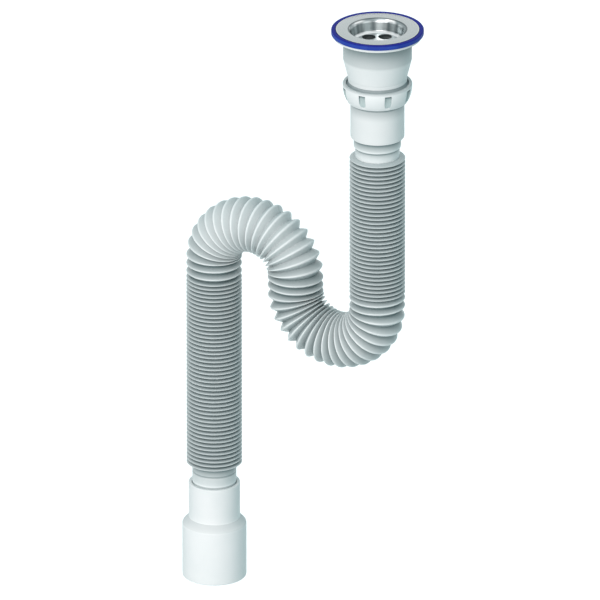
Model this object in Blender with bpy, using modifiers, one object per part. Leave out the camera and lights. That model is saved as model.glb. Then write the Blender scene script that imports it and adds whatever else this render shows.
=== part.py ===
"""Flexible sink trap: strainer waste, union nut, corrugated S hose and stepped outlet.

The origin is on the axis of the waste, at the top of the gasket's bead. The hose hangs in the
plane of X and Z, and its outlet is on the -X side.
"""
import math

import bmesh
import bpy
from mathutils import Matrix, Vector

MM = 0.001

# Fits and fineness
CLEARANCE = 0.3 * MM
TURN_STEPS = 24
SMALL_STEPS = 12
HOSE_STEPS = 14
ARC_STEPS = 2
SHARP_ANGLE = math.radians(35)
MERGE = 0.00001
OVERCUT = 1.0 * MM

# Strainer cup, pressed from one steel sheet
SHEET = 0.8 * MM
MOUTH_RADIUS = 22.75 * MM
RIM_WIDTH = 9.35 * MM
RIM_RADIUS = MOUTH_RADIUS + RIM_WIDTH
RIM_DROP = 0.1 * MM
LIP_DEPTH = 2.7 * MM
LIP_WIDTH = 1.85 * MM
WALL_TOP_RADIUS = MOUTH_RADIUS - LIP_WIDTH
WALL_DRAFT = 1.0 * MM
WALL_FOOT_RADIUS = WALL_TOP_RADIUS - WALL_DRAFT
WALL_FOOT_DEPTH = 9.6 * MM
SHOULDER_WIDTH = 1.9 * MM
PLATE_RADIUS = WALL_FOOT_RADIUS - SHOULDER_WIDTH
CUP_DEPTH = 11.1 * MM
HOLE_COUNT = 6
HOLE_BRIDGE = 2.2 * MM
HOLE_MARGIN = 0.2 * MM
HOLE_SPREAD = 2 * math.sin(math.pi / HOLE_COUNT)
HOLE_RADIUS = (HOLE_SPREAD * (PLATE_RADIUS - HOLE_MARGIN) - HOLE_BRIDGE) / (2 + HOLE_SPREAD)
HOLE_CIRCLE_RADIUS = PLATE_RADIUS - HOLE_RADIUS - HOLE_MARGIN
HOLE_TURN = math.radians(33.5)

# Countersunk cup screw, which lies in the plate's dimple
SCREW_RADIUS = 3.0 * MM
SCREW_LENGTH = 24.0 * MM
DIMPLE_WIDTH = 1.9 * MM
DIMPLE_DEPTH = 1.9 * MM
DIMPLE_RADIUS = SCREW_RADIUS + CLEARANCE + DIMPLE_WIDTH
HEAD_EDGE = 0.4 * MM
SLOT_WIDTH = 1.2 * MM
SLOT_DEPTH = 1.0 * MM

# Rubber sink gasket
BEAD_CLEARANCE = 0.4 * MM
BEAD_WIDTH = 3.3 * MM
GASKET_RADIUS = RIM_RADIUS + BEAD_CLEARANCE + BEAD_WIDTH
GASKET_BORE_MARGIN = 0.85 * MM
GASKET_BORE_RADIUS = MOUTH_RADIUS + SHEET + GASKET_BORE_MARGIN
GASKET_SEAT = 2.5 * MM

# Waste body, with the 1 1/2 inch thread of the union
FLANGE_INSET = 1.6 * MM
FLANGE_RADIUS = GASKET_RADIUS - FLANGE_INSET
FLANGE_THICKNESS = 2.2 * MM
BODY_WALL = 2.4 * MM
BORE_MARGIN = 1.45 * MM
BARREL_RADIUS = MOUTH_RADIUS + BORE_MARGIN + BODY_WALL
BARREL_LENGTH = 18.4 * MM
CONE_LENGTH = 15.7 * MM
THREAD_RADIUS = 23.6 * MM
THREAD_WALL = 3.0 * MM
THREAD_LENGTH = 8.1 * MM
RELIEF_DEPTH = 1.2 * MM
RELIEF_HEIGHT = 1.8 * MM
NECK_RADIUS = THREAD_RADIUS - 0.9 * MM
NECK_BEAD_RADIUS = THREAD_RADIUS - 0.6 * MM
NECK_BEAD_HEIGHT = 2.0 * MM

# Cross inside the body, which carries the insert for the screw
HUB_GAP = 1.1 * MM
HUB_ROOF = 3.0 * MM
HUB_LIP = 1.0 * MM
HUB_WALL = 2.0 * MM
ARM_WIDTH = 2.4 * MM
ARM_HEIGHT = 9.0 * MM
INSERT_ACROSS_FLATS = 9.0 * MM
INSERT_LENGTH = 10.0 * MM
INSERT_RADIUS = INSERT_ACROSS_FLATS / 2 / math.cos(math.pi / 6)
POCKET_RADIUS = (INSERT_ACROSS_FLATS / 2 + CLEARANCE) / math.cos(math.pi / 6)
HUB_RADIUS = POCKET_RADIUS + HUB_WALL
HUB_LENGTH = HUB_ROOF + INSERT_LENGTH + HUB_LIP

# Tail adapter: a flange that fits the nut, and a socket for the hose
ADAPTER_FLANGE_INSET = 0.7 * MM
ADAPTER_FLANGE_RADIUS = THREAD_RADIUS - ADAPTER_FLANGE_INSET
ADAPTER_FLANGE_WIDTH = 2.0 * MM
ADAPTER_FLANGE = 2.2 * MM
ADAPTER_RADIUS = ADAPTER_FLANGE_RADIUS - ADAPTER_FLANGE_WIDTH
ADAPTER_LENGTH = 34.6 * MM
ADAPTER_WALL = 3.1 * MM
SOCKET_WALL = 2.2 * MM
STOP_WIDTH = 1.6 * MM
STOP_HEIGHT = 2.0 * MM

# Union washer
WASHER_RADIUS = ADAPTER_FLANGE_RADIUS
WASHER_WIDTH = 4.0 * MM
WASHER_THICKNESS = 2.0 * MM

# Union nut
NUT_BORE_RADIUS = THREAD_RADIUS + CLEARANCE
NUT_WALL = 3.0 * MM
NUT_RADIUS = NUT_BORE_RADIUS + NUT_WALL
NUT_HEIGHT = 15.1 * MM
NUT_WAIST_DEPTH = 2.4 * MM
NUT_FLOOR = 2.0 * MM
NUT_MOUTH_FLARE = 0.5 * MM
NUT_MOUTH_DEPTH = 1.0 * MM
NUT_HOLE_RADIUS = ADAPTER_RADIUS + CLEARANCE
NUT_LIP = 2.1 * MM
NUT_SIDE_STEPS = 6
POCKET_COUNT = 8
POCKET_TURN = math.radians(4.1)
POCKET_WIDTH = 5.4 * MM
POCKET_WALL = 0.9 * MM
POCKET_DROP = 2.4 * MM
POCKET_STRAIGHT = 6.0 * MM
POCKET_POINT = 5.2 * MM

# Stepped outlet spigot, for a 40 mm or a 50 mm pipe
SPIGOT_TOP_RADIUS = 20.0 * MM
SPIGOT_TOP_LENGTH = 29.6 * MM
SPIGOT_CONE = 5.2 * MM
SPIGOT_RADIUS = 25.0 * MM
SPIGOT_LENGTH = 44.4 * MM
SPIGOT_WALL = 2.0 * MM
SPIGOT_SOCKET_WALL = 2.5 * MM

# Corrugated hose
CREST_RADIUS = 21.6 * MM
FOLD_DEPTH = 4.6 * MM
VALLEY_RADIUS = CREST_RADIUS - FOLD_DEPTH
FOLD_WALL = 1.2 * MM
CLOSED_PITCH = 3.39 * MM
OPEN_PITCH = 6.55 * MM
RIGHT_FOLDS = 34
LEFT_FOLDS = 47
CUFF_WALL = 1.5 * MM
TOP_CUFF_RADIUS = ADAPTER_RADIUS - SOCKET_WALL - CLEARANCE
TOP_CUFF_DEPTH = 18.4 * MM
TOP_COLLAR = 8.5 * MM
TOP_NECK_STEP = 1.1 * MM
TOP_NECK = 7.8 * MM
LOW_CUFF_RADIUS = SPIGOT_TOP_RADIUS - SPIGOT_SOCKET_WALL - CLEARANCE
LOW_CUFF_DEPTH = 15.0 * MM
LOW_COLLAR = 8.9 * MM
LOW_NECK = 6.1 * MM
CREASE_DEPTH = 0.5 * MM

# Route of the hose, from the adapter down, round the two bends and down to the outlet
RUN_SPACING = 73.75 * MM
RIGHT_RUN = 144.1 * MM
BEND_RISE = 34.1 * MM
MIDDLE_RUN = 11.3 * MM
LEFT_RUN = 189.4 * MM
BEND_POINTS = 40

# Levels that follow from the sizes, from the top down
RIM_TOP = -RIM_DROP
PLATE_TOP = RIM_TOP - CUP_DEPTH
HUB_TOP = PLATE_TOP - DIMPLE_DEPTH - SHEET - HUB_GAP
GASKET_SEAT_TOP = RIM_TOP - SHEET - CLEARANCE
GASKET_BOTTOM = GASKET_SEAT_TOP - GASKET_SEAT
BODY_TOP = GASKET_BOTTOM - CLEARANCE
BARREL_TOP = BODY_TOP - FLANGE_THICKNESS
BARREL_BOTTOM = BARREL_TOP - BARREL_LENGTH
CONE_BOTTOM = BARREL_BOTTOM - CONE_LENGTH
NECK_BEAD_BOTTOM = CONE_BOTTOM - NECK_BEAD_HEIGHT
THREAD_TOP = NECK_BEAD_BOTTOM - RELIEF_HEIGHT
BODY_BOTTOM = THREAD_TOP - THREAD_LENGTH
WASHER_TOP = BODY_BOTTOM - CLEARANCE
ADAPTER_TOP = WASHER_TOP - WASHER_THICKNESS - CLEARANCE
NUT_FLOOR_TOP = ADAPTER_TOP - ADAPTER_FLANGE - CLEARANCE
NUT_BOTTOM = NUT_FLOOR_TOP - NUT_FLOOR
NUT_TOP = NUT_BOTTOM + NUT_HEIGHT
ADAPTER_BOTTOM = ADAPTER_TOP - ADAPTER_LENGTH
HOSE_TOP = ADAPTER_BOTTOM + TOP_CUFF_DEPTH
LOWER_BEND = ADAPTER_BOTTOM - RIGHT_RUN
UPPER_BEND = LOWER_BEND + MIDDLE_RUN
SPIGOT_TOP = UPPER_BEND - LEFT_RUN
HOSE_BOTTOM = SPIGOT_TOP - LOW_CUFF_DEPTH
SPIGOT_X = -2 * RUN_SPACING


def new_collection(name):
    """Add an empty collection to the scene."""
    collection = bpy.data.collections.new(name)
    bpy.context.scene.collection.children.link(collection)
    return collection


def colour(red, green, blue):
    """Turn a display colour of 0 to 255 into the linear values that a shader takes."""
    def linear(value):
        share = value / 255
        return share / 12.92 if share <= 0.04045 else ((share + 0.055) / 1.055) ** 2.4
    return (linear(red), linear(green), linear(blue), 1.0)


def material(name, base, roughness, metallic=0.0):
    """A plain Principled material."""
    made = bpy.data.materials.new(name)
    made.use_nodes = True
    shader = made.node_tree.nodes["Principled BSDF"]
    shader.inputs["Base Color"].default_value = base
    shader.inputs["Roughness"].default_value = roughness
    shader.inputs["Metallic"].default_value = metallic
    made.diffuse_color = base
    return made


def rounded(corners, closed=True):
    """Round the corners of an outline: each is (radius, level) or (radius, level, fillet)."""
    points = []
    count = len(corners)
    for index, corner in enumerate(corners):
        here = Vector(corner[:2])
        end = not closed and index in (0, count - 1)
        if len(corner) < 3 or end:
            points.append(here)
            continue
        before = Vector(corners[index - 1][:2]) - here
        after = Vector(corners[(index + 1) % count][:2]) - here
        half = before.angle(after) / 2
        reach = min(corner[2] / math.tan(half), 0.49 * before.length, 0.49 * after.length)
        radius = reach * math.tan(half)
        bisector = (before.normalized() + after.normalized()).normalized()
        centre = here + bisector * radius / math.sin(half)
        first = here + before.normalized() * reach - centre
        last = here + after.normalized() * reach - centre
        sweep = first.angle_signed(last)
        for step in range(ARC_STEPS + 1):
            turn = Matrix.Rotation(-sweep * step / ARC_STEPS, 2)
            points.append(centre + turn @ first)
    return points


def turned(name, points, finish, collection, steps=TURN_STEPS, closed=True):
    """Turn an outline of (radius, level) points about Z."""
    mesh = bpy.data.meshes.new(name)
    count = len(points)
    edges = [(index, (index + 1) % count) for index in range(count if closed else count - 1)]
    mesh.from_pydata([(point[0], 0, point[1]) for point in points], edges, [])
    mesh.materials.append(finish)
    made = bpy.data.objects.new(name, mesh)
    collection.objects.link(made)
    screw = made.modifiers.new("Turn", "SCREW")
    screw.axis = "Z"
    screw.steps = steps
    screw.render_steps = steps
    screw.use_merge_vertices = True
    screw.merge_threshold = MERGE
    screw.use_smooth_shade = False
    return made


def hide(cutter):
    """Mark a cutter or guide, which isn't part of the product."""
    cutter.hide_render = True
    cutter.display_type = "WIRE"
    return cutter


def cut(target, tool, operation="DIFFERENCE"):
    """Cut the tool out of the target, or join it on."""
    boolean = target.modifiers.new(tool.name, "BOOLEAN")
    boolean.operation = operation
    boolean.solver = "EXACT"
    boolean.object = tool


def prism(name, collection, sides, radius, top, height, turn=0.0):
    """A regular prism or cylinder on the Z axis, below a level."""
    body = bmesh.new()
    place = Matrix.Translation((0, 0, top - height / 2)) @ Matrix.Rotation(turn, 4, "Z")
    bmesh.ops.create_cone(body, cap_ends=True, segments=sides, radius1=radius,
                          radius2=radius, depth=height, matrix=place)
    mesh = bpy.data.meshes.new(name)
    body.to_mesh(mesh)
    body.free()
    made = bpy.data.objects.new(name, mesh)
    collection.objects.link(made)
    return made


def block(name, collection, size, centre):
    """A box of a size about a centre."""
    body = bmesh.new()
    place = Matrix.Translation(centre) @ Matrix.Diagonal((*size, 1))
    bmesh.ops.create_cube(body, size=1, matrix=place)
    mesh = bpy.data.meshes.new(name)
    body.to_mesh(mesh)
    body.free()
    made = bpy.data.objects.new(name, mesh)
    collection.objects.link(made)
    return made


def strainer_cup(parts, cutters, finish):
    """The pressed cup: its upper face turned, thickened downwards and pierced."""
    foot = RIM_TOP - WALL_FOOT_DEPTH
    face = rounded([
        (SCREW_RADIUS + CLEARANCE, PLATE_TOP - DIMPLE_DEPTH),
        (DIMPLE_RADIUS, PLATE_TOP),
        (PLATE_RADIUS, PLATE_TOP, 1.5 * MM),
        (WALL_FOOT_RADIUS, foot),
        (WALL_TOP_RADIUS, RIM_TOP - LIP_DEPTH, 1.2 * MM),
        (MOUTH_RADIUS, RIM_TOP),
        (RIM_RADIUS, RIM_TOP),
    ], closed=False)
    cup = turned("strainer_cup", face, finish, parts, closed=False)
    sheet = cup.modifiers.new("Sheet", "SOLIDIFY")
    sheet.thickness = SHEET
    sheet.offset = -1
    sheet.use_even_offset = True
    for index in range(HOLE_COUNT):
        angle = HOLE_TURN + index * math.tau / HOLE_COUNT
        hole = hide(prism(f"cup_hole_{index + 1}", cutters, SMALL_STEPS, HOLE_RADIUS,
                          PLATE_TOP + 2 * OVERCUT, SHEET + 4 * OVERCUT))
        hole.location = Vector((math.cos(angle), math.sin(angle), 0)) * HOLE_CIRCLE_RADIUS
        cut(cup, hole)
    return cup


def cup_screw(parts, cutters, finish):
    """The screw: a slotted head whose cone runs parallel to the dimple, and a shank."""
    slope = DIMPLE_DEPTH / (DIMPLE_RADIUS - SCREW_RADIUS - CLEARANCE)
    head_radius = DIMPLE_RADIUS - CLEARANCE / math.sin(math.atan(slope))
    head_top = PLATE_TOP
    neck = head_top - HEAD_EDGE - slope * (head_radius - SCREW_RADIUS)
    tip = head_top - SCREW_LENGTH
    screw = turned("cup_screw", rounded([
        (0, head_top),
        (head_radius - HEAD_EDGE / slope, head_top),
        (head_radius - HEAD_EDGE / slope, head_top - HEAD_EDGE),
        (SCREW_RADIUS, neck),
        (SCREW_RADIUS, tip, 0.8 * MM),
        (0, tip),
    ], closed=False), finish, parts, SMALL_STEPS, closed=False)
    slot = hide(block("screw_slot", cutters, (3 * head_radius, SLOT_WIDTH, 2 * SLOT_DEPTH),
                      (0, 0, head_top)))
    cut(screw, slot)
    return screw


def sink_gasket(parts, finish):
    """The rubber ring: a thin seat under the steel rim and a raised bead round it."""
    bead_bore = RIM_RADIUS + BEAD_CLEARANCE
    return turned("sink_gasket", rounded([
        (GASKET_RADIUS, 0, 1.0 * MM),
        (GASKET_RADIUS, GASKET_BOTTOM, 0.6 * MM),
        (GASKET_BORE_RADIUS, GASKET_BOTTOM),
        (GASKET_BORE_RADIUS, GASKET_SEAT_TOP),
        (bead_bore, GASKET_SEAT_TOP),
        (bead_bore, 0, 0.6 * MM),
    ]), finish, parts)


def waste_body(parts, cutters, finish):
    """The moulded body: flange, barrel, cone and thread outside, a cross with a hub inside."""
    barrel_bore = BARREL_RADIUS - BODY_WALL
    thread_bore = THREAD_RADIUS - THREAD_WALL
    relief_radius = THREAD_RADIUS - RELIEF_DEPTH
    body = turned("waste_body", rounded([
        (FLANGE_RADIUS, BODY_TOP),
        (FLANGE_RADIUS, BARREL_TOP, 0.5 * MM),
        (BARREL_RADIUS, BARREL_TOP, 0.8 * MM),
        (BARREL_RADIUS, BARREL_BOTTOM),
        (NECK_RADIUS, CONE_BOTTOM),
        (NECK_BEAD_RADIUS, CONE_BOTTOM, 0.3 * MM),
        (NECK_BEAD_RADIUS, NECK_BEAD_BOTTOM),
        (relief_radius, NECK_BEAD_BOTTOM),
        (relief_radius, THREAD_TOP),
        (THREAD_RADIUS, THREAD_TOP),
        (THREAD_RADIUS, BODY_BOTTOM),
        (thread_bore, BODY_BOTTOM),
        (thread_bore, CONE_BOTTOM),
        (barrel_bore, BARREL_BOTTOM),
        (barrel_bore, BODY_TOP),
    ]), finish, parts)
    arm_reach = 2 * (barrel_bore + BODY_WALL / 2)
    arm_middle = HUB_TOP - ARM_HEIGHT / 2
    for name, size in (("cross_arm_x", (arm_reach, ARM_WIDTH, ARM_HEIGHT)),
                       ("cross_arm_y", (ARM_WIDTH, arm_reach, ARM_HEIGHT))):
        cut(body, hide(block(name, cutters, size, (0, 0, arm_middle))), "UNION")
    hub = hide(prism("cross_hub", cutters, SMALL_STEPS, HUB_RADIUS, HUB_TOP, HUB_LENGTH))
    cut(body, hub, "UNION")
    pocket = hide(prism("insert_pocket", cutters, 6, POCKET_RADIUS, HUB_TOP - HUB_ROOF, HUB_LENGTH))
    cut(body, pocket)
    hole = hide(prism("hub_hole", cutters, SMALL_STEPS, SCREW_RADIUS + CLEARANCE,
                      HUB_TOP + OVERCUT, HUB_LENGTH))
    cut(body, hole)
    return body


def screw_insert(parts, cutters, finish):
    """The brass nut in the hub, pulled up against the hub's roof by the screw."""
    top = HUB_TOP - HUB_ROOF - CLEARANCE
    insert = prism("screw_insert", parts, 6, INSERT_RADIUS, top, INSERT_LENGTH)
    insert.data.materials.append(finish)
    bore = hide(prism("insert_bore", cutters, SMALL_STEPS, SCREW_RADIUS + CLEARANCE,
                      top + OVERCUT, INSERT_LENGTH + 2 * OVERCUT))
    cut(insert, bore)
    return insert


def union_washer(parts, finish):
    """The flat washer between the threaded end and the adapter's flange."""
    low = WASHER_TOP - WASHER_THICKNESS
    bore_radius = WASHER_RADIUS - WASHER_WIDTH
    return turned("union_washer", [
        (WASHER_RADIUS, WASHER_TOP),
        (WASHER_RADIUS, low),
        (bore_radius, low),
        (bore_radius, WASHER_TOP),
    ], finish, parts)


def tail_adapter(parts, finish):
    """The tube that the nut clamps by its flange, with a socket for the hose's cuff."""
    flange_bottom = ADAPTER_TOP - ADAPTER_FLANGE
    socket_radius = TOP_CUFF_RADIUS + CLEARANCE
    bore_radius = ADAPTER_RADIUS - ADAPTER_WALL
    stop = HOSE_TOP + CLEARANCE
    return turned("tail_adapter", rounded([
        (ADAPTER_FLANGE_RADIUS, ADAPTER_TOP),
        (ADAPTER_FLANGE_RADIUS, flange_bottom),
        (ADAPTER_RADIUS, flange_bottom),
        (ADAPTER_RADIUS, ADAPTER_BOTTOM, 1.0 * MM),
        (socket_radius, ADAPTER_BOTTOM),
        (socket_radius, stop),
        (socket_radius - STOP_WIDTH, stop),
        (socket_radius - STOP_WIDTH, stop + STOP_HEIGHT),
        (bore_radius, stop + STOP_HEIGHT),
        (bore_radius, ADAPTER_TOP),
    ]), finish, parts)


def union_nut(parts, cutters, finish):
    """The nut: a bowl-shaped side with pointed grip pockets, open at the top."""
    waist = NUT_TOP - NUT_WAIST_DEPTH
    side = []
    low_angle = math.acos((NUT_HOLE_RADIUS + NUT_LIP) / NUT_RADIUS)
    drop = waist - NUT_BOTTOM
    for step in range(NUT_SIDE_STEPS + 1):
        angle = low_angle * step / NUT_SIDE_STEPS
        depth = drop * math.sin(angle) / math.sin(low_angle)
        side.append((NUT_RADIUS * math.cos(angle), waist - depth))
    flange_clear = ADAPTER_FLANGE_RADIUS + CLEARANCE
    nut = turned("union_nut", rounded([
        (NUT_RADIUS, NUT_TOP, 1.8 * MM),
        *side,
        (NUT_HOLE_RADIUS, NUT_BOTTOM),
        (NUT_HOLE_RADIUS, NUT_FLOOR_TOP),
        (flange_clear, NUT_FLOOR_TOP),
        (NUT_BORE_RADIUS, ADAPTER_TOP + CLEARANCE),
        (NUT_BORE_RADIUS, NUT_TOP - NUT_MOUTH_DEPTH),
        (NUT_BORE_RADIUS + NUT_MOUTH_FLARE, NUT_TOP),
    ]), finish, parts)
    cut(nut, grip_pockets(cutters))
    return nut


def grip_pockets(cutters):
    """The ring of cutters for the nut's pockets: a straight side over a pointed foot."""
    half = POCKET_WIDTH / 2
    top = NUT_TOP - POCKET_DROP
    foot = top - POCKET_STRAIGHT
    outline = [(-half, top), (half, top)]
    for step in range(2 * ARC_STEPS + 1):
        angle = math.pi * step / (2 * ARC_STEPS)
        outline.append((half * math.cos(angle), foot - POCKET_POINT * math.sin(angle)))
    back_radius = NUT_BORE_RADIUS + POCKET_WALL
    depth = NUT_RADIUS - back_radius + OVERCUT
    body = bmesh.new()
    for index in range(POCKET_COUNT):
        turn = Matrix.Rotation(POCKET_TURN + index * math.tau / POCKET_COUNT, 4, "Z")
        corners = [body.verts.new(turn @ Vector((back_radius, across, level)))
                   for across, level in outline]
        back = body.faces.new(corners)
        pushed = bmesh.ops.extrude_face_region(body, geom=[back])
        moved = [item for item in pushed["geom"] if isinstance(item, bmesh.types.BMVert)]
        bmesh.ops.translate(body, verts=moved, vec=turn @ Vector((depth, 0, 0)))
    bmesh.ops.recalc_face_normals(body, faces=body.faces)
    mesh = bpy.data.meshes.new("grip_pockets")
    body.to_mesh(mesh)
    body.free()
    made = bpy.data.objects.new("grip_pockets", mesh)
    cutters.objects.link(made)
    return hide(made)


def route_points():
    """The centre line of the hose: straight runs joined by two half ellipses."""
    half = RUN_SPACING / 2
    points = [Vector((0, 0, HOSE_TOP))]
    for step in range(BEND_POINTS + 1):
        angle = math.pi * step / BEND_POINTS
        points.append(Vector((half * (math.cos(angle) - 1), 0,
                              LOWER_BEND - BEND_RISE * math.sin(angle))))
    for step in range(BEND_POINTS + 1):
        angle = math.pi * step / BEND_POINTS
        points.append(Vector((half * (math.cos(angle) - 3), 0,
                              UPPER_BEND + BEND_RISE * math.sin(angle))))
    points.append(Vector((SPIGOT_X, 0, HOSE_BOTTOM)))
    return points


def fold_pitches(length):
    """The pitch of each fold: closed in the two legs, open in the bends between them."""
    span = length - (RIGHT_FOLDS + LEFT_FOLDS) * CLOSED_PITCH
    opened = max(3, round(span / OPEN_PITCH))
    middle = [span / opened] * opened
    return [CLOSED_PITCH] * RIGHT_FOLDS + middle + [CLOSED_PITCH] * LEFT_FOLDS


def corrugated_hose(parts, cutters, finish):
    """The blown hose: a straight bellows with plain cuffs, bent along the route."""
    route = route_points()
    length = sum((after - before).length for before, after in zip(route, route[1:]))
    top_neck = -TOP_CUFF_DEPTH - TOP_COLLAR
    fold_start = top_neck - TOP_NECK
    fold_end = LOW_CUFF_DEPTH + LOW_COLLAR + LOW_NECK - length
    low_neck = fold_end - LOW_NECK
    pitches = fold_pitches(fold_start - fold_end)
    neck_radius = TOP_CUFF_RADIUS - TOP_NECK_STEP
    bore_radius = VALLEY_RADIUS - FOLD_WALL
    neck_top = top_neck - TOP_NECK_STEP
    outside = rounded([
        (TOP_CUFF_RADIUS, 0),
        (TOP_CUFF_RADIUS, top_neck, 0.8 * MM),
        (neck_radius, neck_top),
        (neck_radius, fold_start),
    ], closed=False)
    inside = [
        (TOP_CUFF_RADIUS - CUFF_WALL, 0),
        (TOP_CUFF_RADIUS - CUFF_WALL, top_neck),
        (neck_radius - CUFF_WALL, neck_top),
        (neck_radius - CUFF_WALL, fold_start + CUFF_WALL),
        (bore_radius, fold_start),
    ]
    level = fold_start
    for index, pitch in enumerate(pitches):
        outside.append((CREST_RADIUS, level - pitch / 2))
        outside.append((VALLEY_RADIUS, level - pitch))
        if RIGHT_FOLDS <= index < len(pitches) - LEFT_FOLDS:
            inside.append((bore_radius, level))
            inside.append((CREST_RADIUS - FOLD_WALL, level - pitch / 2))
        level -= pitch
    inside += [
        (bore_radius, level + LEFT_FOLDS * CLOSED_PITCH),
        (bore_radius, fold_end),
        (LOW_CUFF_RADIUS - CUFF_WALL, fold_end - CUFF_WALL),
        (LOW_CUFF_RADIUS - CUFF_WALL, -length),
    ]
    outside += [
        (LOW_CUFF_RADIUS, fold_end - CREASE_DEPTH),
        (LOW_CUFF_RADIUS, low_neck + CREASE_DEPTH),
        (LOW_CUFF_RADIUS - CREASE_DEPTH, low_neck),
        (LOW_CUFF_RADIUS, low_neck - CREASE_DEPTH),
        (LOW_CUFF_RADIUS, -length),
    ]
    hose = turned("corrugated_hose", outside + inside[::-1], finish, parts, HOSE_STEPS)
    line = bpy.data.curves.new("hose_route", "CURVE")
    line.dimensions = "3D"
    spline = line.splines.new("POLY")
    spline.points.add(len(route) - 1)
    for point, place in zip(spline.points, route):
        point.co = (*place, 1)
    guide = bpy.data.objects.new("hose_route", line)
    cutters.objects.link(hide(guide))
    bend = hose.modifiers.new("Bend", "CURVE")
    bend.object = guide
    bend.deform_axis = "NEG_Z"
    return hose


def outlet_spigot(parts, finish):
    """The stepped end: a socket for the hose's cuff, and two sizes for a waste pipe."""
    socket_radius = LOW_CUFF_RADIUS + CLEARANCE
    stop = HOSE_BOTTOM - CLEARANCE
    cone_top = SPIGOT_TOP - SPIGOT_TOP_LENGTH
    cone_bottom = cone_top - SPIGOT_CONE
    bottom = cone_bottom - SPIGOT_LENGTH
    upper_bore = SPIGOT_TOP_RADIUS - SPIGOT_WALL
    lower_bore = SPIGOT_RADIUS - SPIGOT_WALL
    spigot = turned("outlet_spigot", rounded([
        (SPIGOT_TOP_RADIUS, SPIGOT_TOP, 0.8 * MM),
        (SPIGOT_TOP_RADIUS, cone_top, 1.5 * MM),
        (SPIGOT_RADIUS, cone_bottom, 2.0 * MM),
        (SPIGOT_RADIUS, bottom, 1.0 * MM),
        (lower_bore, bottom),
        (lower_bore, cone_bottom - SPIGOT_WALL),
        (upper_bore, cone_top - SPIGOT_WALL),
        (upper_bore, stop - STOP_HEIGHT),
        (socket_radius - STOP_WIDTH, stop - STOP_HEIGHT),
        (socket_radius - STOP_WIDTH, stop),
        (socket_radius, stop),
        (socket_radius, SPIGOT_TOP),
    ]), finish, parts)
    spigot.location.x = SPIGOT_X
    return spigot


def settle(part):
    """Apply the modifiers, and shade smooth up to the sharp angle."""
    graph = bpy.context.evaluated_depsgraph_get()
    mesh = bpy.data.meshes.new_from_object(part.evaluated_get(graph))
    mesh.name = part.name
    part.modifiers.clear()
    part.data = mesh
    mesh.shade_smooth()
    mesh.set_sharp_from_angle(angle=SHARP_ANGLE)


for old in list(bpy.data.objects):
    bpy.data.objects.remove(old)

PARTS = new_collection("flexible_sink_trap")
CUTTERS = new_collection("trap_cutters")

WHITE = colour(226, 234, 234)
strainer_cup(PARTS, CUTTERS, material("stainless_steel", colour(183, 193, 194), 0.25, 1.0))
cup_screw(PARTS, CUTTERS, material("screw_steel", colour(170, 178, 180), 0.3, 1.0))
sink_gasket(PARTS, material("blue_rubber", colour(50, 74, 160), 0.55))
waste_body(PARTS, CUTTERS, material("body_plastic", WHITE, 0.4))
screw_insert(PARTS, CUTTERS, material("brass", colour(196, 164, 92), 0.35, 1.0))
union_washer(PARTS, material("washer_rubber", colour(60, 62, 64), 0.6))
tail_adapter(PARTS, material("adapter_plastic", WHITE, 0.4))
union_nut(PARTS, CUTTERS, material("nut_plastic", WHITE, 0.4))
corrugated_hose(PARTS, CUTTERS, material("hose_plastic", colour(190, 200, 201), 0.45))
outlet_spigot(PARTS, material("spigot_plastic", WHITE, 0.4))
for piece in PARTS.objects:
    settle(piece)
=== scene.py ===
"""Flexible sink trap: its visible shapes, finishes, light and camera.

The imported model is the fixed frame, and each piece here stands for one of its nodes. The
sections follow the order in which the trap is put together, from the strainer in the sink's
outlet hole down to the stepped spigot that enters the drain pipe. Lengths of the pieces are in
millimetres, with the top of the gasket at 0, and lengths in materials are in metres.
"""
import math

import bmesh
import bpy
from mathutils import Matrix, Vector


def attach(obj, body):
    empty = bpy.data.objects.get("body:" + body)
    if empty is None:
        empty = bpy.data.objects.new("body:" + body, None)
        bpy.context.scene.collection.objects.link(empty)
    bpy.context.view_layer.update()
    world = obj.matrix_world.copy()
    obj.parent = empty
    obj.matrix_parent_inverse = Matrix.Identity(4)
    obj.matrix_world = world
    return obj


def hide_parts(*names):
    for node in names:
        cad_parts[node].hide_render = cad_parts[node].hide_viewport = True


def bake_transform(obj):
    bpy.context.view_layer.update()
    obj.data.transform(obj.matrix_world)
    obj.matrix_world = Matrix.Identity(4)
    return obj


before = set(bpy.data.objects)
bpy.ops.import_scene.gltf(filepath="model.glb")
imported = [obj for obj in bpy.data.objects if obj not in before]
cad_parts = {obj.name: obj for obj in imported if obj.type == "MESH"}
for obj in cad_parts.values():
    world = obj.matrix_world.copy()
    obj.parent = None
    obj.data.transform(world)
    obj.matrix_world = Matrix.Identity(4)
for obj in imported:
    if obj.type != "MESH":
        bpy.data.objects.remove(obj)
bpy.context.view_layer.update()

# Strainer cup
# A cup pressed from one sheet of stainless steel, with six punched holes round a dimple for
# its screw. The flat rim, which lies on the sink, is satin, and the wall and floor are polished.


class Field:
    """A value that runs through a finish. Arithmetic on it adds Math nodes."""

    def __init__(self, finish, socket):
        self.finish = finish
        self.socket = socket

    def maths(self, operation, *values):
        return self.finish.node("Math", {"operation": operation}, dict(enumerate(values)))

    def __add__(self, other):
        return self.maths("ADD", self, other)

    def __sub__(self, other):
        return self.maths("SUBTRACT", self, other)

    def __rsub__(self, other):
        return self.maths("SUBTRACT", other, self)

    def __mul__(self, other):
        return self.maths("MULTIPLY", self, other)

    def between(self, low, high):
        """0 below the low value, 1 above the high one, and smooth between them."""
        settings = {"interpolation_type": "SMOOTHSTEP"}
        return self.finish.node("MapRange", settings, {0: self, 1: low, 2: high})

    __radd__ = __add__
    __rmul__ = __mul__


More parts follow.
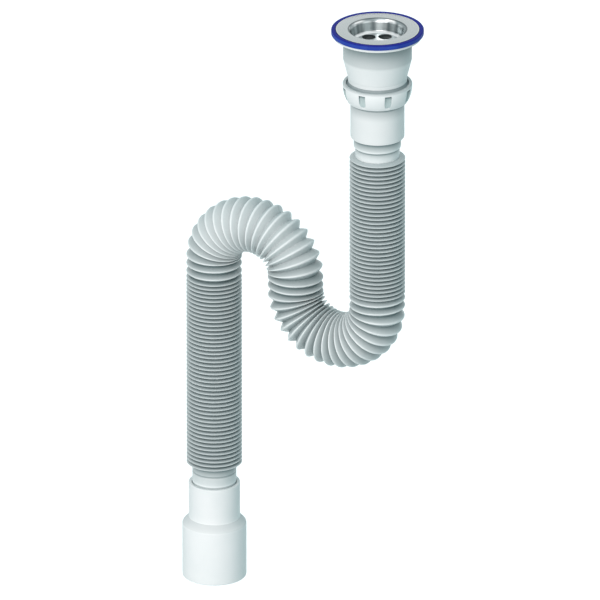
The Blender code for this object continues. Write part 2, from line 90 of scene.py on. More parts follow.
class Finish:
    """The nodes of a material. Every node comes from one method."""

    def __init__(self, tree):
        self.tree = tree

    def node(self, kind, settings=None, inputs=None, output=0):
        """Add a node: its settings first, then the values or links of its sockets."""
        made = self.tree.nodes.new("ShaderNode" + kind)
        for name, value in (settings or {}).items():
            setattr(made, name, value)
        for name, value in (inputs or {}).items():
            self.feed(made.inputs[name], value)
        return Field(self, made.outputs[output])

    def feed(self, socket, value):
        """Set a socket to a value, or link a field to it."""
        if isinstance(value, Field):
            self.tree.links.new(value.socket, socket)
        else:
            socket.default_value = value

    def place(self):
        """The point of the piece, in metres."""
        return self.node("TexCoord", output="Object")

    def height(self, place):
        """The height of a point, in metres."""
        return self.node("SeparateXYZ", None, {0: place}, "Z")

    def mix(self, share, first, second):
        """Blend two colours. The colour sockets of the node have no names of their own."""
        return self.node("Mix", {"data_type": "RGBA"}, {0: share, 6: first, 7: second}, 2)

    def grain(self, place, scale, detail=2.0):
        """Noise from 0 to 1, of a number of grains per metre."""
        return self.node("TexNoise", None, {"Vector": place, "Scale": scale, "Detail": detail})

    def bump(self, height, distance, strength=1.0):
        """A relief of a field, in metres."""
        return self.node("Bump", None, {"Height": height, "Distance": distance,
                                        "Strength": strength})


def shade(red, green, blue):
    """Turn a display colour of 0 to 255 into the linear values that a shader takes."""
    def linear(value):
        share = value / 255
        return share / 12.92 if share <= 0.04045 else ((share + 0.055) / 1.055) ** 2.4
    return (linear(red), linear(green), linear(blue), 1.0)


def new_finish(name, constants=None):
    """A Principled material: its constants are given, and its varying sockets fed later."""
    material = bpy.data.materials.new(name)
    material.use_nodes = True
    finish = Finish(material.node_tree)
    finish.material = material
    finish.sockets = material.node_tree.nodes["Principled BSDF"].inputs
    for key, value in (constants or {}).items():
        finish.sockets[key].default_value = value
    return finish


def rounded(corners, closed=True, steps=8):
    """Round the corners of an outline: each is (radius, level) or (radius, level, fillet)."""
    points = []
    count = len(corners)
    for index, corner in enumerate(corners):
        here = Vector(corner[:2])
        end = not closed and index in (0, count - 1)
        if len(corner) < 3 or end:
            points.append(here)
            continue
        before = Vector(corners[index - 1][:2]) - here
        after = Vector(corners[(index + 1) % count][:2]) - here
        half = before.angle(after) / 2
        reach = min(corner[2] / math.tan(half), 0.49 * before.length, 0.49 * after.length)
        radius = reach * math.tan(half)
        bisector = (before.normalized() + after.normalized()).normalized()
        centre = here + bisector * radius / math.sin(half)
        first = here + before.normalized() * reach - centre
        last = here + after.normalized() * reach - centre
        sweep = first.angle_signed(last)
        for step in range(steps + 1):
            points.append(centre + Matrix.Rotation(-sweep * step / steps, 2) @ first)
    return points


def skin(name, rings, finish, wrap=True, sharp=38):
    """Close a mesh over rings of points, given in millimetres, and shade it smooth."""
    body = bmesh.new()
    loops = [[body.verts.new(point / 1000) for point in ring] for ring in rings]
    pairs = list(zip(loops, loops[1:])) + ([(loops[-1], loops[0])] if wrap else [])
    for upper, lower in pairs:
        for index in range(len(upper)):
            after = (index + 1) % len(upper)
            body.faces.new((upper[index], upper[after], lower[after], lower[index]))
    bmesh.ops.remove_doubles(body, verts=body.verts, dist=0.000002)
    bmesh.ops.recalc_face_normals(body, faces=body.faces)
    mesh = bpy.data.meshes.new(name)
    body.to_mesh(mesh)
    body.free()
    mesh.shade_smooth()
    mesh.set_sharp_from_angle(angle=math.radians(sharp))
    mesh.materials.append(finish.material)
    piece = bpy.data.objects.new(name, mesh)
    bpy.context.scene.collection.objects.link(piece)
    return piece


def turned(name, outline, finish, sides=128, centre=0.0):
    """Turn an outline of (radius, level) points about an upright axis."""
    rings = []
    angles = [math.tau * step / sides for step in range(sides)]
    for radius, level in outline:
        rings.append([Vector((centre + radius * math.cos(angle), radius * math.sin(angle), level))
                      for angle in angles])
    return skin(name, rings, finish)


def settle(piece, sharp=38):
    """Apply a piece's modifiers, and drop the tools that they used."""
    tools = [step.object for step in piece.modifiers if step.type == "BOOLEAN"]
    graph = bpy.context.evaluated_depsgraph_get()
    mesh = bpy.data.meshes.new_from_object(piece.evaluated_get(graph))
    piece.modifiers.clear()
    piece.data = mesh
    mesh.shade_smooth()
    mesh.set_sharp_from_angle(angle=math.radians(sharp))
    for tool in tools:
        bpy.data.objects.remove(tool)


def cut(piece, tool):
    """Cut a tool out of a piece."""
    step = piece.modifiers.new("cut", "BOOLEAN")
    step.operation = "DIFFERENCE"
    step.solver = "EXACT"
    step.object = tool


def soften(piece, width, segments=2):
    """Round the sharp edges of a piece by a width in millimetres."""
    step = piece.modifiers.new("soften", "BEVEL")
    step.width = width / 1000
    step.segments = segments
    step.limit_method = "ANGLE"
    step.angle_limit = math.radians(40)


def cup_steel():
    """Stainless steel: a satin rim turned in rings, and a polished wall with painted reflections.
    """
    finish = new_finish("cup_steel", {"Metallic": 1.0})
    place = finish.place()
    flat = finish.node("VectorMath", {"operation": "MULTIPLY"}, {0: place, 1: (1, 1, 0)})
    reach = finish.node("VectorMath", {"operation": "LENGTH"}, {0: flat}, "Value")
    around = finish.node("VectorMath", {"operation": "NORMALIZE"}, {0: flat})
    height = finish.height(place)
    # The satin rim, a painted highlight on its outer edge, and painted shade in the crease at its
    # inner one.
    rim = reach.between(0.0222, 0.0232)
    rings = finish.node("TexNoise", {"noise_dimensions": "1D"},
                        {"W": reach * 5000, "Scale": 1.0, "Detail": 3.0})
    satin = finish.mix(rings, shade(168, 178, 179), shade(194, 203, 204))
    edge = finish.mix(reach.between(0.0312, 0.0318), satin, shade(206, 216, 208))
    crease_shade = reach.between(0.0220, 0.0225) * (1 - reach.between(0.0228, 0.0233))
    # The bright bottom plate, and patches of painted reflection on the rounded lip.
    patches = finish.grain(place, 85, 1.0).between(0.42, 0.58)
    painted_lip_reflection = finish.mix(patches, shade(140, 153, 156), shade(238, 243, 243))
    pressed = finish.mix(height.between(-0.0040, -0.0028), shade(228, 234, 235), painted_lip_reflection)
    # The wall between them, in upright strips of painted reflection.
    wall = (1 - rim) * height.between(-0.0108, -0.0092) * (1 - height.between(-0.0026, -0.0012))
    strips = finish.grain(around, 3.0, 1.0).between(0.28, 0.72)
    painted_wall_reflection = finish.mix(strips, shade(96, 108, 111), shade(214, 224, 225))
    base = finish.mix(wall, finish.mix(rim, pressed, edge), painted_wall_reflection)
    # The crease at the rim's inner edge is darkened with painted shade.
    finish.feed(finish.sockets["Base Color"], finish.mix(crease_shade * 0.8, base, shade(78, 90, 92)))
    finish.feed(finish.sockets["Roughness"], 0.30 - rim * 0.1 * rings)
    finish.feed(finish.sockets["Normal"], finish.bump(rings * rim, 0.00002))
    return finish


STEEL = cup_steel()
PLATE = -11.2
SHEET = 0.8
HOLE_RADIUS = 5.3
HOLE_RING = 12.6
FIRST_HOLE = 33.5
HOLES = 6
FACE = rounded([
    (3.3, PLATE - 1.9), (5.2, PLATE, 0.5), (18.0, PLATE, 2.2), (19.9, -9.7, 0.8),
    (20.9, -2.8, 1.4), (22.75, -0.1, 0.9), (32.1, -0.1),
], closed=False)
UNDER = []
for index, point in enumerate(FACE):
    along = (FACE[min(index + 1, len(FACE) - 1)] - FACE[max(index - 1, 0)]).normalized()
    UNDER.append(point + Vector((along.y, -along.x)) * SHEET)
cup = turned("pressed_cup", FACE + UNDER[::-1], STEEL)
for index in range(HOLES):
    angle = math.radians(FIRST_HOLE + 360 / HOLES * index)
    punch = turned(f"punch_{index}", [(0, PLATE + 2), (HOLE_RADIUS, PLATE + 2),
                                      (HOLE_RADIUS, PLATE - 3), (0, PLATE - 3)], STEEL, 64)
    punch.location = Vector((math.cos(angle), math.sin(angle), 0)) * HOLE_RING / 1000
    cut(cup, punch)
soften(cup, 0.15)
settle(cup)
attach(cup, "waste")
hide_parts("strainer_cup")

# Cup screw and its insert
# A countersunk steel screw lies flush in the dimple and is driven with a coin or a wide blade.
# It pulls the body up against the sink by a hexagonal brass insert, which the hub holds.


def machined(name, base, roughness):
    """Turned metal, with fine tool rings across its axis."""
    finish = new_finish(name, {"Metallic": 1.0})
    place = finish.place()
    height = finish.height(place)
    marks = finish.node("TexNoise", {"noise_dimensions": "1D"},
                        {"W": height * 9000, "Scale": 1.0, "Detail": 2.0})
    dark = [0.78 * value for value in base[:3]] + [1.0]
    finish.feed(finish.sockets["Base Color"], finish.mix(marks, dark, base))
    finish.feed(finish.sockets["Roughness"], roughness + 0.12 * marks)
    return finish


SCREW_STEEL = machined("screw_steel", shade(182, 190, 192), 0.24)
SCREW_CORE = 2.55
SCREW_CREST = 3.0
SCREW_TURNS = 20
SCREW_OUTLINE = [(0, PLATE), (4.0, PLATE, 0.2), (4.35, PLATE - 0.35, 0.2),
                 (SCREW_CREST, PLATE - 1.75)]
for turn in range(SCREW_TURNS):
    level = PLATE - 2.6 - turn
    SCREW_OUTLINE += [(SCREW_CORE, level), (SCREW_CORE, level - 0.25),
                      (SCREW_CREST, level - 0.5), (SCREW_CREST, level - 0.6)]
SCREW_OUTLINE += [(SCREW_CORE, PLATE - 23.0), (2.3, PLATE - 24.0), (0, PLATE - 24.0)]
screw = turned("flush_screw", rounded(SCREW_OUTLINE, closed=False), SCREW_STEEL, 48)
slot = turned("screw_slot", [(0, PLATE + 1), (0.5, PLATE + 1), (0.5, PLATE - 1), (0, PLATE - 1)],
              SCREW_STEEL, 4)
slot.data.transform(Matrix.Rotation(math.radians(45), 4, "Z"))
slot.scale = (14, 1.7, 1)
cut(screw, slot)
soften(screw, 0.08)
settle(screw)
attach(screw, "waste")
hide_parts("cup_screw")

BRASS = machined("insert_brass", shade(196, 164, 92), 0.3)
insert = bpy.data.objects[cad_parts["screw_insert"].name]
insert.material_slots[0].material = BRASS.material

# Sealing ring
# A moulded ring of smooth blue rubber. Its thin seat lies between the steel rim and the
# flange, and its raised bead stands round the rim with a narrow groove between them.


def rubber(name, light, dark, roughness, crown_shade=None):
    """Moulded rubber: faint bloom in patches and a fine matt grain, with painted shade on its top
    face if a shade colour is given.
    """
    finish = new_finish(name, {"Specular IOR Level": 0.15})
    place = finish.place()
    bloom = finish.grain(place, 140, 4.0).between(0.35, 0.7)
    fine = finish.grain(place, 3200, 3.0)
    base = finish.mix(bloom, dark, light)
    if crown_shade:
        height = finish.height(place)
        base = finish.mix(height.between(-0.0009, -0.0002), base, crown_shade)
    finish.feed(finish.sockets["Base Color"], base)
    finish.feed(finish.sockets["Roughness"], roughness + 0.1 * fine)
    finish.feed(finish.sockets["Normal"], finish.bump(fine, 0.00002, 0.5))
    return finish


# The gasket's top face takes a painted shade.
BLUE_RUBBER = rubber("blue_rubber", shade(46, 74, 166), shade(38, 64, 156), 0.5,
                     crown_shade=shade(18, 32, 142))
gasket = turned("sealing_ring", rounded([
    (35.8, 0, 0.8), (35.8, -3.7, 0.3), (24.4, -3.7, 0.3), (24.4, -1.2, 0.3),
    (32.5, -1.2, 0.2), (32.5, 0, 0.8),
]), BLUE_RUBBER, 160)
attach(gasket, "waste")
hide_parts("sink_gasket")

# Waste body
# An injection moulding in white plastic: a flange under the sink, a barrel, a cone down to a
# neck bead and the union's thread. A cross inside it carries the hub for the screw.
SHADOW_TINT = shade(38, 82, 87)


def moulded(name, light, dark, roughness, flow_scale=45, shadows=()):
    """Injection-moulded plastic with faint flow marks.

    Each of the shadows is (foot, ledge, weight), in millimetres: the plastic darkens from the
    foot's level to the level of the ledge that shades it.
    """
    finish = new_finish(name, {"Specular IOR Level": 0.25})
    place = finish.place()
    flow = finish.grain(place, flow_scale, 3.0).between(0.3, 0.7)
    fine = finish.grain(place, 2400, 2.0)
    height = finish.height(place)
    base = finish.mix(flow, dark, light)
    for foot, ledge, weight in shadows:
        share = height.between(foot / 1000, ledge / 1000) * weight
        base = finish.mix(share, base, SHADOW_TINT)
    finish.feed(finish.sockets["Base Color"], base)
    finish.feed(finish.sockets["Roughness"], roughness + 0.08 * flow + 0.06 * fine)
    finish.feed(finish.sockets["Normal"], finish.bump(fine, 0.00001, 0.4))
    return finish


def dress(mesh, finish, chosen):
    """Give another finish to the faces that a test chooses by their reach, level and slope.

    The slope is the upward part of the face's normal.
    """
    mesh.materials.append(finish.material)
    for face in mesh.polygons:
        middle = face.center * 1000
        if chosen(math.hypot(middle.x, middle.y), middle.z, face.normal.z):
            face.material_index = len(mesh.materials) - 1


BODY_PLASTIC = moulded("body_plastic", shade(232, 236, 236), shade(229, 234, 234), 0.36,
                       shadows=[(-24, -6, 0.64), (-11, -7, 0.3), (-25.6, -22.5, 0.29),
                                (-37.5, -41, 0.12)])
PLAIN_PLASTIC = moulded("plain_plastic", shade(235, 239, 238), shade(232, 237, 236), 0.36)
# Painted shade for recesses: the body's thread and the gap under its bead, and the nut's bore.
RECESS_SHADE_PLASTIC = moulded("painted_recess_shade", shade(160, 172, 174), shade(152, 164, 166), 0.5)
# Painted shade for the inside of the body, where little light gets in.
INSIDE_SHADE_PLASTIC = moulded("painted_inside_shade", shade(150, 163, 165), shade(142, 155, 157), 0.5)
THREAD_CORE = 22.5
THREAD_CREST = 23.6
THREAD_PITCH = 2.3
BODY_THREAD = []
for turn in range(3):
    level = -44.5 - THREAD_PITCH * turn
    BODY_THREAD += [(THREAD_CORE, level), (THREAD_CREST, level - 0.9, 0.2),
                    (THREAD_CREST, level - 1.3, 0.2), (THREAD_CORE, level - 2.2)]
body = turned("moulded_body", rounded([
    (34.2, -4.0, 0.3), (34.2, -6.2, 0.4), (26.6, -6.2, 0.9), (26.6, -24.6, 1.2),
    (22.7, -39.9, 3.0), (22.9, -42.3, 0.3), (22.4, -42.6, 0.2),
    (22.4, -44.1), *BODY_THREAD, (THREAD_CORE, -52.2, 0.2), (20.6, -52.2, 0.2),
    (20.6, -40.3, 2.0), (24.2, -24.6, 2.0), (24.2, -4.0, 0.3),
]), BODY_PLASTIC)
ARM_LENGTH = 0.0508
ARM_WIDTH = 0.0024
ARM_HEIGHT = 0.009
HUB_RADIUS = 0.0075
HUB_HEIGHT = 0.014
cross = bmesh.new()
cross.from_mesh(body.data)
for size in ((ARM_LENGTH, ARM_WIDTH, ARM_HEIGHT), (ARM_WIDTH, ARM_LENGTH, ARM_HEIGHT)):
    spot = Matrix.Translation((0, 0, -0.0195)) @ Matrix.Diagonal((*size, 1))
    bmesh.ops.create_cube(cross, size=1, matrix=spot)
bmesh.ops.create_cone(cross, cap_ends=True, segments=48, radius1=HUB_RADIUS, radius2=HUB_RADIUS,
                      depth=HUB_HEIGHT, matrix=Matrix.Translation((0, 0, -0.022)))
cross.to_mesh(body.data)
cross.free()
body.data.shade_smooth()
body.data.set_sharp_from_angle(angle=math.radians(38))
dress(body.data, PLAIN_PLASTIC, lambda reach, level, slope: level > -6.3 and reach > 26.7)
# The thread and the gap under the neck bead take painted shade.
dress(body.data, RECESS_SHADE_PLASTIC, lambda reach, level, slope: level < -42.35 and reach > 22)
# The barrel's inside and the cross take painted shade.
dress(body.data, INSIDE_SHADE_PLASTIC, lambda reach, level, slope: (
    level > -40.6 and reach < 24.25 and reach < 24.3 + (level + 24.6) * 0.2))
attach(body, "waste")
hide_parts("waste_body")

# Union washer and tail adapter
# A flat rubber washer seals the union. Under it the adapter, a plain white tube, hangs by its
# flange in the nut, and its lower end is the socket for the hose's cuff.
WASHER_RUBBER = rubber("washer_rubber", shade(64, 66, 68), shade(52, 54, 56), 0.55)
washer = bpy.data.objects[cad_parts["union_washer"].name]
washer.material_slots[0].material = WASHER_RUBBER.material

ADAPTER_PLASTIC = moulded("adapter_plastic", shade(230, 233, 233), shade(227, 231, 231), 0.34,
                          shadows=[(-71.0, -60.4, 0.38), (-62.0, -60.2, 0.72)])
adapter = turned("socket_adapter", rounded([
    (22.9, -54.8, 0.3), (22.9, -57.0, 0.3), (20.9, -57.0, 0.3), (20.9, -89.4, 0.9),
    (18.7, -89.4, 0.4), (18.7, -70.7), (17.1, -70.7, 0.3), (17.1, -68.7, 0.3),
    (17.8, -68.7, 0.3), (17.8, -54.8, 0.4),
]), ADAPTER_PLASTIC)
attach(adapter, "hose")
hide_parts("tail_adapter")

# Union nut
# The white moulded nut draws the adapter up to the body's thread. Its side is bowl-shaped,
# with eight pockets for the fingers that end in a point, and its top edge is well rounded.
NUT_PLASTIC = moulded("nut_plastic", shade(238, 241, 241), shade(235, 239, 239), 0.33,
                      shadows=[(-46.3, -44.3, 0.36)])
# The pockets are matt, with painted shade that is darkest under their top walls.
POCKET_SHADE_PLASTIC = moulded("painted_pocket_shade", shade(190, 205, 205), shade(180, 196, 196), 0.5, 900,
                         shadows=[(-49.6, -47.2, 0.75), (-56.0, -47.0, 0.14)])
NUT_TOP = -44.2
NUT_FOOT = -59.3
NUT_SIDE = 26.9
NUT_FOOT_RADIUS = 23.3
POCKETS = 8
POCKET_HALF = 2.7
POCKET_BACK = 24.8
POCKET_TOP = NUT_TOP - 2.4
POCKET_LOW = POCKET_TOP - 6.0
POCKET_POINT = 5.2
POCKET_LEAST = 0.3
FIRST_POCKET = math.radians(4.1)
POCKET_STEPS = 16
LAND_STEPS = 12
POCKET_ROWS = 12
FOOT_ROWS = 10


def bowl(level):
    """The radius of the nut's side at a level: upright above the pockets, and an arc below."""
    share = max(0.0, POCKET_TOP - level) / (POCKET_TOP - NUT_FOOT)
    low = math.sqrt(1 - (NUT_FOOT_RADIUS / NUT_SIDE) ** 2)
    return NUT_SIDE * math.sqrt(1 - (share * low) ** 2)


def pocket_columns():
    """The columns across a pocket: (distance across, foot, whether it is in the pocket)."""
    columns = [(POCKET_HALF, POCKET_LOW, False)]
    for step in range(POCKET_STEPS + 1):
        angle = math.pi * step / POCKET_STEPS
        columns.append((POCKET_HALF * math.cos(angle),
                        POCKET_LOW - POCKET_POINT * math.sin(angle), True))
    return columns + [(-POCKET_HALF, POCKET_LOW, False)]


def nut_loop(level_over, radius=None, sunk=False):
    """A loop round the nut, at the level that level_over gives for the foot of each column.

    It follows a circle or, with no radius, the bowl. Sunk, it follows the pockets' backs.
    """
    loop = []
    columns = pocket_columns()
    for index in range(POCKETS):
        turn = FIRST_POCKET - index * math.tau / POCKETS
        for across, foot, hollow in columns:
            level = level_over(foot)
            if sunk and hollow:
                shallow = math.sqrt((bowl(level) - POCKET_LEAST) ** 2 - across ** 2)
                back = min(POCKET_BACK, shallow)
                loop.append(Matrix.Rotation(turn, 4, "Z") @ Vector((back, across, level)))
                continue
            reach = radius or bowl(level)
            angle = turn + math.asin(across / reach)
            loop.append(Vector((reach * math.cos(angle), reach * math.sin(angle), level)))
        level = level_over(POCKET_LOW)
        reach = radius or bowl(level)
        edge = math.asin(POCKET_HALF / reach)
        for step in range(1, LAND_STEPS):
            angle = turn - edge - step / LAND_STEPS * (math.tau / POCKETS - 2 * edge)
            loop.append(Vector((reach * math.cos(angle), reach * math.sin(angle), level)))
    return loop


NUT_RIM = rounded([(23.9, NUT_TOP - 1.0), (24.4, NUT_TOP, 0.5), (NUT_SIDE, NUT_TOP, 1.75),
                   (NUT_SIDE, POCKET_TOP)], closed=False)
NUT_UNDER = rounded([(bowl(NUT_FOOT), NUT_FOOT), (21.2, NUT_FOOT, 0.3), (21.2, -57.3, 0.3),
                     (23.2, -57.3), (23.9, -54.5), (23.9, NUT_TOP - 1.0)], closed=False)
loops = [nut_loop(lambda foot: level, radius) for radius, level in NUT_RIM[:-1]]
for row in range(POCKET_ROWS + 1):
    # The pockets' top and bottom walls join a loop on the bowl to one on the pockets' backs.
    for sunk in {0: (False, True), POCKET_ROWS: (True, False)}.get(row, (True,)):
        loops.append(nut_loop(
            lambda foot: POCKET_TOP + (foot - POCKET_TOP) * (row / POCKET_ROWS), sunk=sunk))
for row in range(FOOT_ROWS + 1):
    loops.append(nut_loop(lambda foot: foot + (NUT_FOOT - foot) * (row / FOOT_ROWS)))
loops += [nut_loop(lambda foot: level, radius) for radius, level in NUT_UNDER[1:-1]]
nut = skin("grip_nut", loops, NUT_PLASTIC, sharp=30)
# The pockets' faces take painted shade.
dress(nut.data, POCKET_SHADE_PLASTIC, lambda reach, level, slope: (
    24.5 < reach < bowl(level) - 0.15 and level < POCKET_TOP + 0.1))
# The nut's bore takes painted shade.
dress(nut.data, RECESS_SHADE_PLASTIC, lambda reach, level, slope: reach < 24.1 and level > -57.2)
soften(nut, 0.3, 3)
settle(nut, 30)
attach(nut, "nut")
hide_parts("union_nut")

# Corrugated hose
# One blown tube of pale grey plastic, plain at its cuffs and folded between them. The folds
# of the two legs are pushed shut, those of the bends are drawn open, and the tube holds its S.
CREST = 21.6
VALLEY = 17.0
BORE = 15.8
CLOSED = 3.39
DRAWN = 6.55
RIGHT_FOLDS = 34
LEFT_FOLDS = 47
HOSE_TOP = -71.0
HOSE_FOOT = -426.6
LOWER_BEND = -233.5
UPPER_BEND = -222.2
BEND_HALF = 36.875
BEND_REACH = 34.1
BEND_STEPS = 240
HOSE_SIDES = 88
CLOSED_STEPS = (0, 0.18, 0.36, 0.5, 0.64, 0.82)
OPEN_STEPS = (0, 0.05, 0.2, 0.36, 0.43, 0.47, 0.5, 0.53, 0.57, 0.64, 0.8, 0.95)


def fold(share, pitch):
    """The height of a fold's wall, 0 in the valley and 1 on the crest: a rounded ridge."""
    blunt = 0.16 if pitch > CLOSED else 0.5
    away = abs(2 * share - 1)
    return 1 - (math.hypot(away, blunt) - blunt) / (math.hypot(1, blunt) - blunt)


def hose_route():
    """The hose's centre line: two straight legs, joined by a half ellipse down and one up."""
    route = [Vector((0, 0, HOSE_TOP))]
    for step in range(BEND_STEPS + 1):
        angle = math.pi * step / BEND_STEPS
        route.append(Vector((BEND_HALF * (math.cos(angle) - 1), 0,
                             LOWER_BEND - BEND_REACH * math.sin(angle))))
    for step in range(BEND_STEPS + 1):
        angle = math.pi * step / BEND_STEPS
        route.append(Vector((BEND_HALF * (math.cos(angle) - 3), 0,
                             UPPER_BEND + BEND_REACH * math.sin(angle))))
    route.append(Vector((-4 * BEND_HALF, 0, HOSE_FOOT)))
    return route


ROUTE = hose_route()
MILEAGE = [0.0]
for before, after in zip(ROUTE, ROUTE[1:]):
    MILEAGE.append(MILEAGE[-1] + (after - before).length)
HOSE_LENGTH = MILEAGE[-1]


def along_route(distance):
    """The place and the direction of the hose's centre line at a distance from its top."""
    index = 1
    while index < len(MILEAGE) - 1 and MILEAGE[index] < distance:
        index += 1
    span = MILEAGE[index] - MILEAGE[index - 1]
    share = (distance - MILEAGE[index - 1]) / span
    place = ROUTE[index - 1].lerp(ROUTE[index], share)
    ahead = (ROUTE[index] - ROUTE[index - 1]).normalized()
    return place, ahead


def painted_fold_light(height, place, ahead):
    """The painted light and shade of an open fold's wall, with a painted highlight on its crest.
    Drawn further apart on the bends, it lets more light in, so it is painted lighter.
    """
    bent = min(1.0, 1.6 * abs(ahead.x))
    deep = 0.12 + (0.50 if place.z > UPPER_BEND else 0.14) * bent
    crest = max(0.0, (height - 0.85) / 0.15)
    return deep + (0.62 + 0.12 * bent - deep) * height + 0.3 * crest


CUFF, COLLAR, NECK = 18.4, 8.5, 7.8
LOW_CUFF, LOW_COLLAR, LOW_NECK = 15.0, 8.9, 6.1
FOLD_START = CUFF + COLLAR + NECK
FOLD_END = HOSE_LENGTH - LOW_CUFF - LOW_COLLAR - LOW_NECK
OPEN_SPAN = FOLD_END - FOLD_START - (RIGHT_FOLDS + LEFT_FOLDS) * CLOSED
OPEN_FOLDS = round(OPEN_SPAN / DRAWN)
PITCHES = [CLOSED] * RIGHT_FOLDS + [OPEN_SPAN / OPEN_FOLDS] * OPEN_FOLDS + [CLOSED] * LEFT_FOLDS
# Each ring of the profile is (distance along the hose, radius, painted light and shade), from 0
# for the darkest painted shade to 1 for a painted highlight.
# The upper cuff and neck: painted shadow under the adapter's end and at the chamfer, growing
# lighter downwards.
outside = [
    (0, 18.4, 0.1), (CUFF, 18.4, 0.1), (19.4, 18.4, 0.15), (20.2, 18.4, 0.23), (21.1, 18.4, 0.38),
    (21.9, 18.4, 0.47), (23.6, 18.4, 0.63), (24.6, 18.4, 0.75), (25.2, 18.4, 0.9),
    (25.9, 18.4, 1.0), (26.2, 18.3, 0.9), (26.5, 18.1, 0.5), (27.2, 17.4, 0.2), (27.4, 17.3, 0.25),
    (28.2, 17.3, 0.55), (29.2, 17.3, 0.68), (30.6, 17.3, 0.8), (32.6, 17.3, 0.88),
    (34.4, 17.3, 0.93), (FOLD_START, 17.1, 0.6)]
distance = FOLD_START
for index, pitch in enumerate(PITCHES):
    for share in CLOSED_STEPS if pitch == CLOSED else OPEN_STEPS:
        height = fold(share, pitch)
        place, ahead = along_route(distance + pitch * share)
        # A fold's wall is painted lighter towards its crest, with painted shade deep in the folds.
        if pitch > CLOSED:
            light = painted_fold_light(height, place, ahead)
        elif index == 0 and share < 0.5:
            light = 0.55 + 0.2 * share
        else:
            light = 0.15 + 0.66 * height ** 3
        outside.append((distance + pitch * share, VALLEY + (CREST - VALLEY) * height, light))
    distance += pitch
outside.append((FOLD_END, VALLEY, 0.05))
# The lower neck and cuff: painted shade under the last fold and in the crease, and a painted
# highlight above the spigot.
for left, radius, light in (
        (29.2, 17.2, 0.2), (27.5, 17.2, 0.42), (25.5, 17.2, 0.55), (24.7, 17.2, 0.62),
        (24.3, 16.8, 0.3), (23.6, 16.8, 0.34), (23.0, 17.2, 0.7), (22.0, 17.2, 0.74),
        (19.0, 17.2, 0.76), (17.2, 17.2, 0.82), (16.1, 17.2, 1.0), (15.3, 17.2, 0.5),
        (0, 17.2, 0.1)):
    outside.append((HOSE_LENGTH - left, radius, light))
inside = [(0, 16.9, 0.5), (27.0, 16.9, 0.5), (28.0, BORE, 0.5)]
distance = FOLD_START
for pitch in PITCHES:
    inside.append((distance, BORE, 0.5))
    distance += pitch
inside += [(FOLD_END, BORE, 0.5), (FOLD_END + 1.5, 15.7, 0.5), (HOSE_LENGTH, 15.7, 0.5)]
profile = outside + inside[::-1]
rings = []
sideways = Vector((0, 1, 0))
angles = [math.tau * step / HOSE_SIDES for step in range(HOSE_SIDES)]
for distance, radius, light in profile:
    place, ahead = along_route(distance)
    across = Vector((-ahead.z, 0, ahead.x))
    rings.append([place + radius * (across * math.cos(angle) + sideways * math.sin(angle))
                  for angle in angles])


def blown_plastic():
    """Thin blown plastic, with painted shade deep in the closed folds and painted light on the
    cuffs.
    """
    finish = new_finish("hose_plastic", {"Specular IOR Level": 0.3})
    place = finish.place()
    light = finish.node("Attribute", {"attribute_name": "painted_light_and_shade"}, output="Fac")
    flow = finish.grain(place, 60, 3.0).between(0.3, 0.7)
    base = finish.mix(light - 0.03 * flow, shade(82, 107, 110), shade(236, 241, 241))
    finish.feed(finish.sockets["Base Color"], base)
    finish.feed(finish.sockets["Roughness"], 0.26 + 0.08 * flow)
    return finish


HOSE_PLASTIC = blown_plastic()
hose = skin("pleated_hose", rings, HOSE_PLASTIC, sharp=60)
painted_light_and_shade = hose.data.attributes.new("painted_light_and_shade", "FLOAT", "POINT")
for index, mark in enumerate(painted_light_and_shade.data):
    mark.value = profile[index // HOSE_SIDES][2]
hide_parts("corrugated_hose")
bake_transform(hose)

# Outlet spigot
# A white moulded end piece, pressed over the hose's lower cuff. Its two steps, joined by a
# rounded shoulder, fit drain pipes of two sizes, and the wide one is cut off for the smaller.
SPIGOT_PLASTIC = moulded("spigot_plastic", shade(241, 243, 243), shade(238, 241, 241), 0.34,
                         shadows=[(-443, -434, 0.04)])
# The shoulder is a darker copy of the spigot's plastic: painted shade.
SHOULDER_SHADE_PLASTIC = moulded("painted_shoulder_shade", shade(230, 232, 232), shade(227, 230, 230), 0.4,
                           shadows=[(-448, -441, 0.15)])
spigot = turned("stepped_spigot", rounded([
    (20.0, -412.2, 0.6), (20.0, -441.2, 0.8), (25.0, -446.4, 3.0), (25.0, -490.8, 1.0),
    (23.0, -490.8, 0.5), (23.0, -448.4, 2.0), (18.0, -443.2, 2.0), (18.0, -428.9),
    (15.9, -428.9, 0.3), (15.9, -426.9, 0.3), (17.5, -426.9), (17.5, -412.2, 0.3),
]), SPIGOT_PLASTIC, 144, centre=-147.5)
# The shoulder takes painted shade.
dress(spigot.data, SHOULDER_SHADE_PLASTIC, lambda reach, level, slope: (
    -446.8 < level < -441.3 and slope > 0.12))
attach(spigot, "outlet")
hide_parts("outlet_spigot")

# Floor, light and camera
# The trap hangs above a pale floor, in one wide soft lamp from the front left and an even, cool
# fill. The camera looks down on it from a long way off, which keeps its upright lines parallel.
VIEW_TURN = math.radians(31)
VIEW_HEIGHT = math.radians(23)
PICTURE_WIDTH = 0.4651
PICTURE_RIGHT = -0.05975
PICTURE_UP = -0.2090
PICTURE_DEPTH = 0.13
LENS = 1700
SENSOR = 36
FLOOR_LEVEL = -0.60
WHITE = (1, 1, 1, 1)


def seen_plainly(finish):
    """1 for what the camera or a mirror in the part sees, and 0 for the light that it gives."""
    rays = finish.tree.nodes.new("ShaderNodeLightPath")
    camera_ray = Field(finish, rays.outputs["Is Camera Ray"])
    return camera_ray.maths("MAXIMUM", camera_ray, Field(finish, rays.outputs["Is Glossy Ray"]))


def toward(turn, height):
    """The direction from the object to something at a turn about Z and a height."""
    return Vector((math.sin(turn) * math.cos(height), -math.cos(turn) * math.cos(height),
                   math.sin(height)))


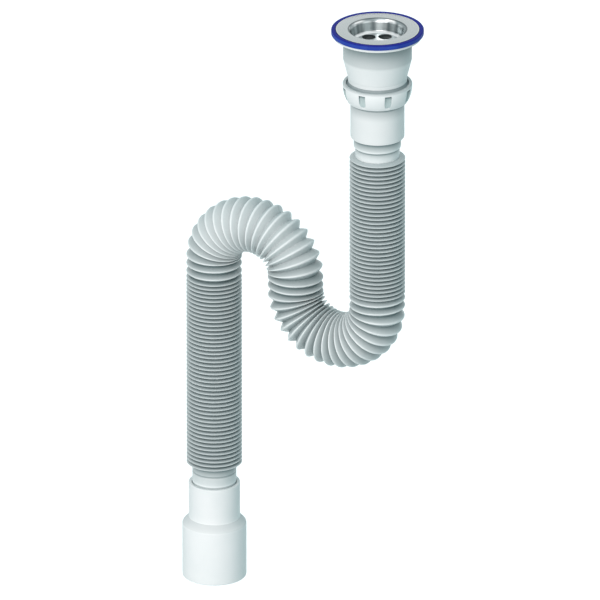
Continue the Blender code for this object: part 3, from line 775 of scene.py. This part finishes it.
floor_finish = new_finish("pale_floor", {"Base Color": (0.36, 0.46, 0.47, 1), "Roughness": 0.9,
                                         "Emission Strength": 0.88})
floor_finish.feed(floor_finish.sockets["Emission Color"],
                  floor_finish.mix(seen_plainly(floor_finish), (0, 0, 0, 1), WHITE))
slab = bmesh.new()
bmesh.ops.create_grid(slab, x_segments=1, y_segments=1, size=6,
                      matrix=Matrix.Translation((0, 0, FLOOR_LEVEL)))
floor_mesh = bpy.data.meshes.new("floor")
slab.to_mesh(floor_mesh)
slab.free()
floor_mesh.materials.append(floor_finish.material)
floor = bpy.data.objects.new("floor", floor_mesh)
bpy.context.scene.collection.objects.link(floor)

world = bpy.data.worlds.new("studio")
world.use_nodes = True
bpy.context.scene.world = world
air = Finish(world.node_tree)
background = air.tree.nodes["Background"].inputs
air.feed(background["Color"], air.mix(seen_plainly(air), (0.34, 0.49, 0.51, 1), WHITE))
air.feed(background["Strength"], 1.0)

key_light = bpy.data.lights.new("key", "SUN")
key_light.energy = 2.68
key_light.color = (1.0, 0.868, 0.855)
key_light.angle = math.radians(60)
key = bpy.data.objects.new("key", key_light)
key_direction = toward(VIEW_TURN - math.radians(21), math.radians(20))
key.rotation_euler = key_direction.to_track_quat("Z", "Y").to_euler()
bpy.context.scene.collection.objects.link(key)

right = Vector((math.cos(VIEW_TURN), math.sin(VIEW_TURN), 0))
back = toward(VIEW_TURN, VIEW_HEIGHT)
up = back.cross(right)
lens = bpy.data.cameras.new("camera")
lens.lens = LENS
lens.sensor_width = SENSOR
lens.clip_end = 100
camera = bpy.data.objects.new("camera", lens)
camera.matrix_world = Matrix((
    (right.x, up.x, back.x, 0), (right.y, up.y, back.y, 0), (right.z, up.z, back.z, 0),
    (0, 0, 0, 1)))
# The picture is as wide as this where the middle of the trap is, a little beyond its origin.
distance = PICTURE_WIDTH * LENS / SENSOR - PICTURE_DEPTH
camera.location = right * PICTURE_RIGHT + up * PICTURE_UP + back * distance
bpy.context.scene.collection.objects.link(camera)
bpy.context.scene.camera = camera
bpy.context.scene.view_settings.view_transform = "Standard"
